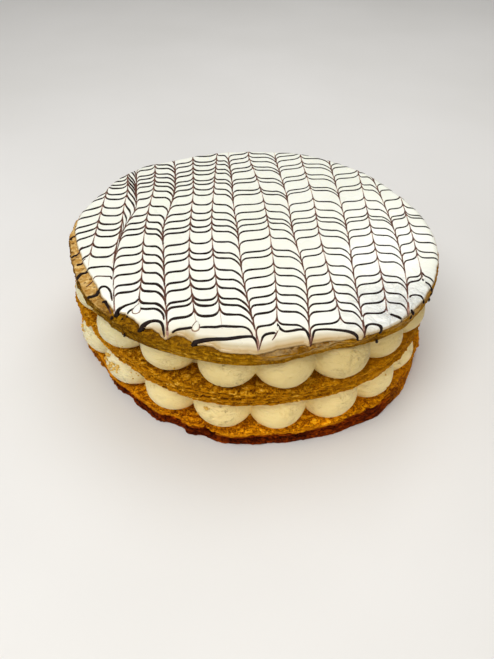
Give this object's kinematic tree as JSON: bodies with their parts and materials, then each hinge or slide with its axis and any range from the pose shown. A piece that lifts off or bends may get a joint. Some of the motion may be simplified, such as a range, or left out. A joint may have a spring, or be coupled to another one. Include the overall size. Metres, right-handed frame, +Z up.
{
  "type": "napoleon cake",
  "caption": "Whole round napoleon cake: flaky puff pastry discs with rings of piped cream mounds between them, under white icing feathered with chocolate lines.",
  "frame": {"origin": "middle of the flat underside, on the cake's axis", "axes": "+Z up through the layers, -Y towards the front, where the icing's drawn tips are, +X to the right seen from the front"},
  "size_m": [0.2575, 0.2554, 0.0825],
  "materials": {
    "puff_pastry": "matte",
    "cream": "satin",
    "icing": "gloss"
  },
  "bodies": {
    "root": {"pastry_bottom": "puff_pastry", "cream_lower": "cream", "pastry_middle": "puff_pastry", "cream_upper": "cream", "pastry_top": "puff_pastry", "icing": "icing"}
  },
  "joints": []
}
